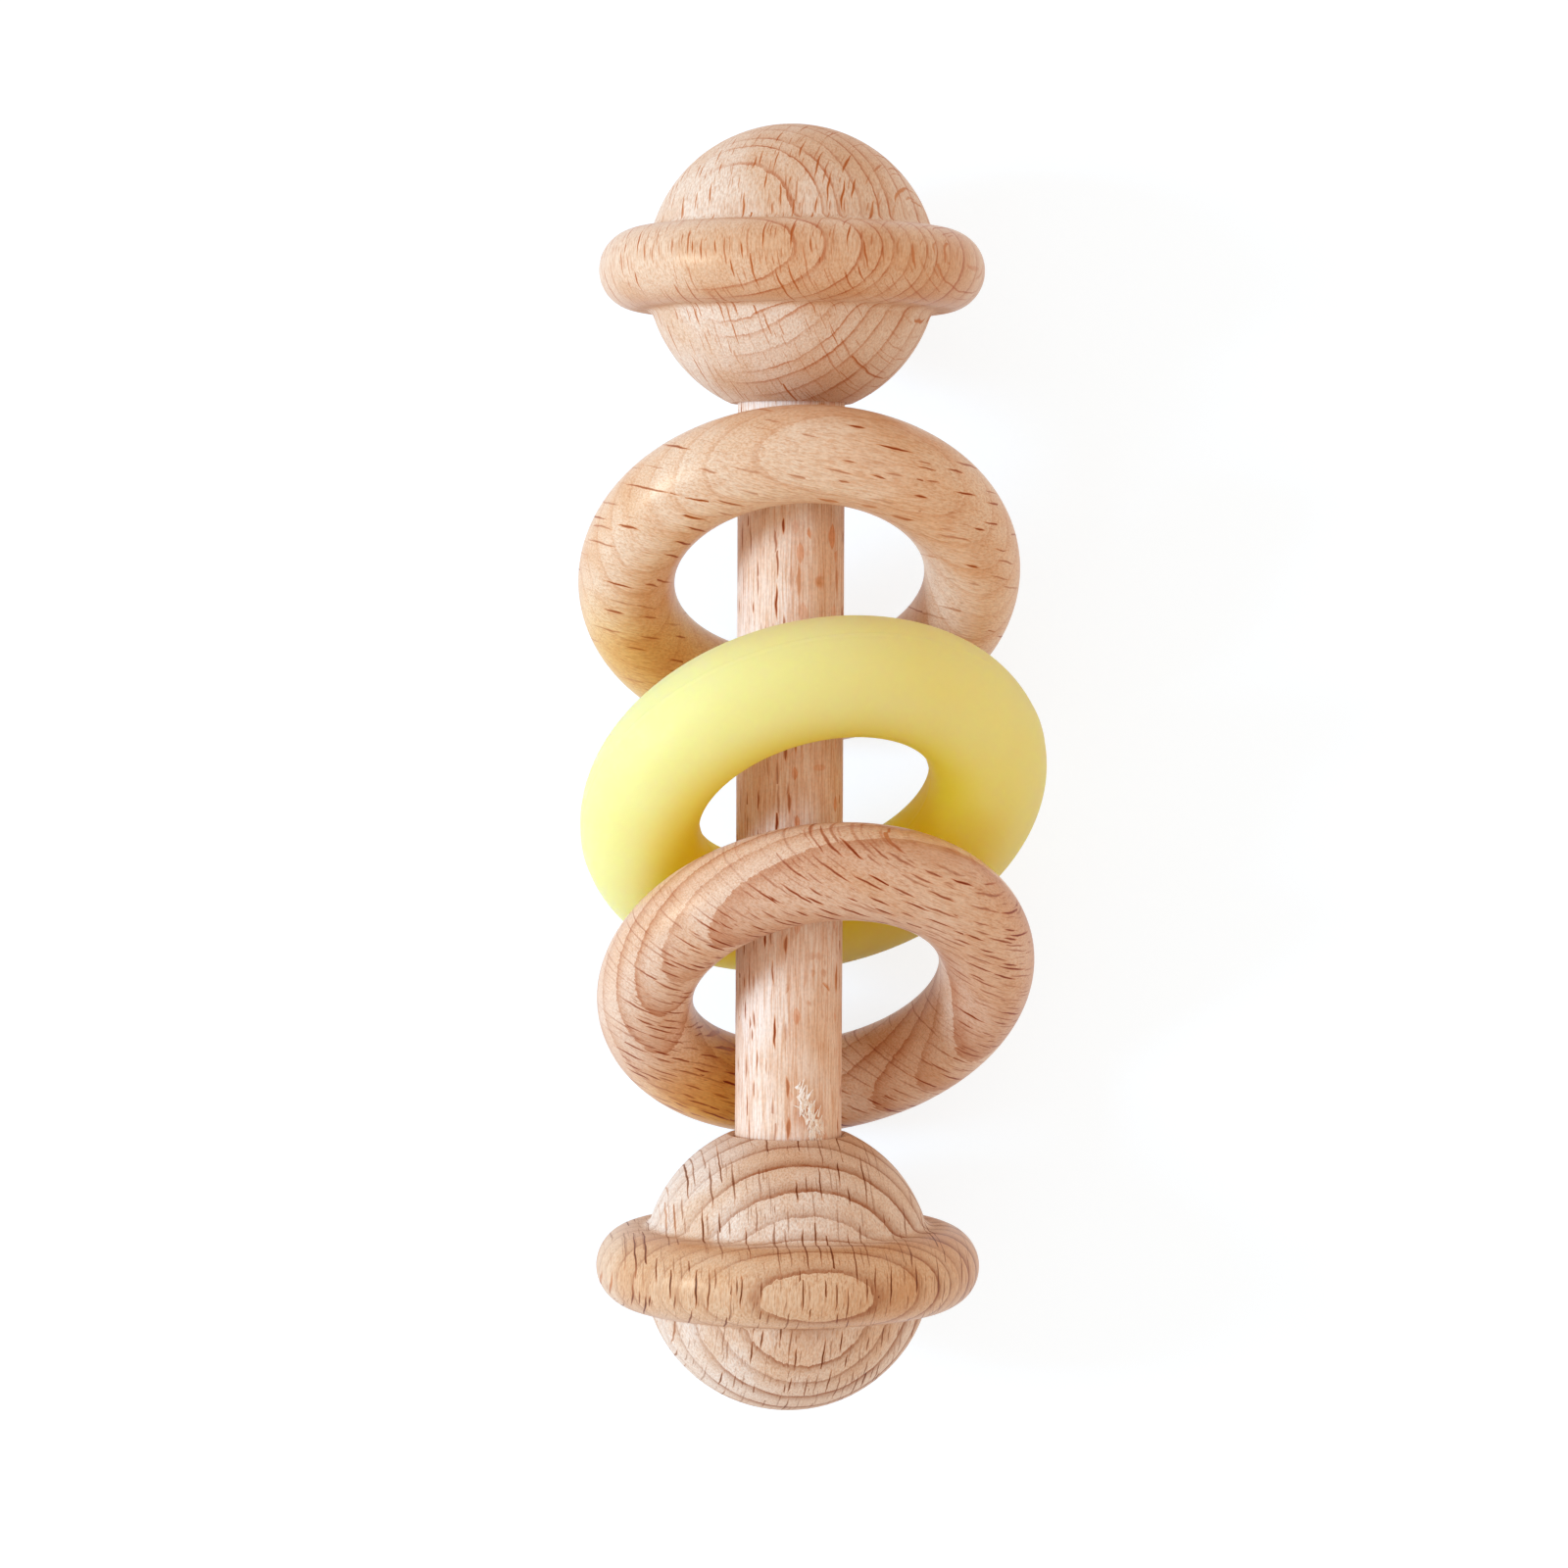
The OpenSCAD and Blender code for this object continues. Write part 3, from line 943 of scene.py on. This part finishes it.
# %% Wood of the dowel and the beads
DOWEL_WOOD = COMMON | {
    "seed": 1.0, "years": [-17.0, -13.6, -10.2, -6.8, -3.4, 0.0, 3.4, 6.8],
    "early": picked(246, 231, 221), "late": picked(238, 205, 182), "late_share": 0.4, "line_share": 0.1,
    "ray": picked(134, 44, 6), "ray_cell": (1.5, 4.2, 8.0), "ray_half": (0.1, 1.5, 9.0),
    "ray_missing": 0.15, "narrow_share": 0.3, "flakes": picked(240, 180, 132),
    "fibre": (0.2, 4.5, 0.2), "streak_share": 1.0,
    "stains_and_painted_light": [((0.0023, -0.0380, 0.0270), 0.0024, picked(228, 190, 166))],
}
UPPER_BEAD_WOOD = COMMON | {
    "seed": 2.0, "years": [-2.0, 1.6, 4.2, 6.4, 7.8, 9.8, 11.7, 12.8, 14.5, 17.0, 18.5, 26.0],
    "early": picked(233, 213, 196), "late": picked(212, 164, 127), "late_share": 0.45,
    # Painted highlight: the year lines fade out towards the bead's lit left side.
    "line": picked(188, 106, 52), "line_share": 0.85, "fade": (3.0, -5.0, 1.0, 0.15),
    "ray": picked(176, 92, 38), "ray_cell": (1.3, 4.0, 8.0), "ray_half": (0.08, 1.5, 9.0),
    "ray_missing": 0.15, "narrow_share": 0.55, "rim": picked(249, 236, 222),
}
LOWER_BEAD_WOOD = COMMON | {
    "seed": 3.0, "years": [0.0, 2.8, 5.6, 8.4, 11.2, 13.2, 14.6, 16.2, 18.0, 20.3, 24.5],
    "early": picked(235, 219, 206), "late": picked(174, 120, 77), "late_share": 0.7, "late_from": 0.42,
    "line": picked(156, 84, 36), "line_share": 0.8,
    "fade": (-3.0, -12.0, 1.0, 0.35), "deepen": (20.0, 9.0, 0.8, 1.05),
    "ray": picked(78, 22, 0), "ray_cell": (1.15, 4.2, 8.0), "ray_half": (0.085, 1.7, 9.0),
    "ray_missing": 0.2, "narrow_share": 0.4, "halo": picked(220, 164, 118), "rim": picked(242, 222, 198),
}
print("years in the beads:", len(UPPER_BEAD_WOOD["years"]) - 1, len(LOWER_BEAD_WOOD["years"]) - 1)

# %% Wood of the rings
UPPER_RING_WOOD = COMMON | {
    "seed": 4.0, "years": [-4.1, -1.8, 0.5, 2.8, 5.1, 7.3, 9.5, 11.7, 13.9, 16.3, 18.6],
    "early": picked(234, 209, 185), "late": picked(227, 183, 145), "late_share": 0.4, "line_share": 0.2,
    "ray": picked(138, 50, 4), "ray_cell": (1.9, 4.6, 8.0), "ray_half": (0.105, 1.6, 9.0),
    "ray_missing": 0.3, "narrow_share": 0.2, "rough": 0.28,
    # Painted light: a yellow patch for the light that the silicone ring throws back on this ring.
    "stains_and_painted_light": [((-0.0158, 0.009, 0.016), 0.018, picked(255, 240, 172))],
}
LOWER_RING_WOOD = COMMON | {
    "seed": 5.0, "years": [-14.0, -6.1, -3.6, -1.3, 1.0, 3.7, 6.2, 8.7], "pith": 157.0, "tooth": 0.6,
    "early": picked(233, 206, 185), "late": picked(198, 138, 97), "late_share": 0.65, "line_share": 0.45,
    "ray": picked(118, 32, 0), "ray_cell": (1.1, 4.6, 8.0), "ray_half": (0.1, 2.0, 9.0),
    "ray_missing": 0.0, "narrow_share": 0.35, "halo": picked(216, 140, 84), "end_share": 0.3, "rough": 0.28,
    # Painted shade: the lower ring's shaded low limb is made a deeper, warmer orange.
    "stains_and_painted_light": [((-0.008, -0.037, 0.009), 0.018, picked(255, 222, 128))],
}
print("years in the rings:", len(UPPER_RING_WOOD["years"]) - 1, len(LOWER_RING_WOOD["years"]) - 1)

# %% [markdown]
# ### How the blocks lie
# Each block has a way in which its grain runs and a way out from its pith. Both follow the lines on the
# real pieces: bands that close to ovals on a ball show where the pith lay, and rays show the grain. The
# turn could be given as three angles, but two directions are easier to see in the wood.

# %% Blocks of beech
def block_turn(grain, out):
    """The turn of a block from the way its grain runs and the way out from its pith."""
    along = Vector(grain).normalized()
    across = along.cross(Vector(out)).normalized()
    return Matrix((across, along, across.cross(along))).transposed().to_euler()


BLOCKS = [
    (dowel, "beech_dowel", (0, 0, axis_z),
     (0, 1, 0), (-0.84, 0, 0.54), DOWEL_WOOD),
    (upper_bead, "beech_upper_bead", (0, bead_y, axis_z),
     (-0.01, 0.96, -0.29), (-0.46, 0.25, 0.85), UPPER_BEAD_WOOD),
    (lower_bead, "beech_lower_bead", (0, -bead_y, axis_z),
     (0.05, 0.99, 0.15), (0.14, -0.15, 0.98), LOWER_BEAD_WOOD),
    (upper_ring, "beech_upper_ring", middle("upper_ring"),
     (0.94, -0.20, -0.26), (0.24, -0.10, 0.97), UPPER_RING_WOOD),
    (lower_ring, "beech_lower_ring", middle("lower_ring"),
     (0.78, -0.31, -0.54), (-0.37, 0.47, -0.80), LOWER_RING_WOOD),
]
for piece, name, place, grain, out, wood in BLOCKS:
    piece.data.materials.append(beech(name, place, block_turn(grain, out), wood))
print("finishes:", [m.name for m in bpy.data.materials if m.name.startswith("beech")])

# %% [markdown]
# ### Torn fibres
# A torn fibre has never been sanded or oiled, so it is paler than the wood around it, and rough. One pale
# colour would look like paper, so the tone changes from fibre to fibre.

# %% Torn fibre finish
TORN_PALE = picked(255, 252, 248)
TORN_WARM = picked(248, 226, 208)
TORN_PATCH_SPAN = (0.35, 0.9, 0.35)
TORN_PATCH_EDGE = (0.35, 0.65)
FLUFF_SPAN = (0.08, 0.3, 0.08)
FLUFF_ROUGH = (0.3, 0.7, 0.6, 0.85)
FLUFF_SPECULAR = 0.4
FLUFF_STRENGTH = 0.5
FLUFF_DEPTH = 0.02 * MM


def torn_wood(name):
    """Pale rough wood, a little uneven from fibre to fibre."""
    finish, tree = empty_finish(name)
    where = add_node(tree, "ShaderNodeTexCoord").outputs
    block = in_block(tree, where["Object"], (0, 0, 0))
    patch = clouds(tree, block, TORN_PATCH_SPAN, 2).outputs[0]
    fluff = clouds(tree, block, FLUFF_SPAN, 2).outputs[0]
    shade(tree, {
        "Base Color": over(tree, between(tree, patch, *TORN_PATCH_EDGE), TORN_PALE, TORN_WARM),
        "Roughness": between(tree, fluff, *FLUFF_ROUGH), "Specular IOR Level": FLUFF_SPECULAR,
        "Normal": relief(tree, fluff, FLUFF_STRENGTH, FLUFF_DEPTH),
    })
    return finish


torn_fibres.data.materials.append(torn_wood("torn_beech"))
print("torn fibres:", torn_fibres.data.materials[0].name)

# %% [markdown]
# ## Silicone
# The yellow ring is matte, soft silicone. Light goes a few millimetres into it and comes out again, so
# its shaded side stays warm and bright. A plain yellow paint would look dead, so all of its colour goes
# through Subsurface Scattering, and its weak gloss is tinted a little warm. Inside the ring light bounces
# from wall to wall and takes on more colour each time; this is painted shade, a deeper yellow multiplied
# into the base colour towards the inside of the ring. A few dust specks cling to it, as they do to any
# silicone.

# %% Silicone finish
SKIN = picked(252, 223, 154)
SKIN_CLOUD = picked(250, 220, 148)
CLOUD_SPAN = (14, 14, 14)
CLOUD_EDGE = (0.3, 0.7)
# Painted shade: a deeper yellow multiplied in towards the inside of the ring, for light bounced between its
# walls.
INSIDE_PAINTED_SHADE = picked(255, 236, 92)
INSIDE_SHADE_EDGE = (23.0, 13.5)
DUST = {"cell": (7, 7, 7), "half": (0.16, 0.16, 0.16), "missing": 0.55, "shift": 4.0}
DUST_COLOUR = picked(120, 96, 52)
DUST_SHARE = 0.7
SKIN_ROUGH = 0.58
SKIN_SPECULAR = 0.35
SKIN_GLOSS = (1.0, 0.75, 0.70, 1.0)
SKIN_SPAN = (0.22, 0.22, 0.22)
SKIN_STRENGTH = 0.12
SKIN_DEPTH = 0.02 * MM
LIGHT_REACH = (1.6, 1.0, 0.15)
LIGHT_SCALE = 30 * MM


def silicone(name, place, turn):
    """Matte yellow silicone with painted shade, a deeper yellow inside the ring, and a few dust specks."""
    finish, tree = empty_finish(name)
    where = add_node(tree, "ShaderNodeTexCoord").outputs
    block = in_block(tree, where["Object"], place, turn)
    cloud = clouds(tree, block, CLOUD_SPAN, 2).outputs[0]
    colour = over(tree, between(tree, cloud, *CLOUD_EDGE), SKIN, SKIN_CLOUD)
    off_axis = span_of(tree, "LENGTH", arrow(tree, "MULTIPLY", block, (1, 1, 0)))
    # Painted shade: the base colour deepens towards the inside of the ring.
    colour = over(tree, between(tree, off_axis, *INSIDE_SHADE_EDGE), colour, INSIDE_PAINTED_SHADE, "MULTIPLY")
    dust = spindles(tree, block, **DUST)[0]
    colour = over(tree, number(tree, "MULTIPLY", dust, DUST_SHARE), colour, DUST_COLOUR)
    skin = clouds(tree, block, SKIN_SPAN, 2).outputs[0]
    shade(tree, {
        "Base Color": colour, "Roughness": SKIN_ROUGH,
        "Specular IOR Level": SKIN_SPECULAR, "Specular Tint": SKIN_GLOSS,
        "Subsurface Weight": 1.0, "Subsurface Radius": LIGHT_REACH, "Subsurface Scale": LIGHT_SCALE,
        "Normal": relief(tree, skin, SKIN_STRENGTH, SKIN_DEPTH),
    })
    return finish


silicone_ring.data.materials.append(silicone("yellow_silicone", middle("silicone_ring"), SOFT_TURN))
print("silicone:", silicone_ring.data.materials[0].name)

# %% [markdown]
# ## Tie the pieces to the model
# Six pieces stand for one solid of the CAD model each: a piece hides its solid and moves with its body.
# The torn fibres hide nothing and ride along with the dowel.

# %% Ride and replace
PIECES = [
    (dowel, "handle", "dowel", "dowel_beech"),
    (upper_bead, "handle", "upper_bead", "bead_beech"),
    (lower_bead, "handle", "lower_bead", "bead_beech"),
    (upper_ring, "upper_ring", "upper_ring", "ring_beech"),
    (silicone_ring, "silicone_ring", "silicone_ring", "silicone"),
    (lower_ring, "lower_ring", "lower_ring", "ring_beech"),
]
for piece, body, node, slot in PIECES:
    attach(piece, body)
    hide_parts(node)
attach(torn_fibres, "handle")
print("pieces:", [piece.name for piece, *_ in PIECES] + [torn_fibres.name])
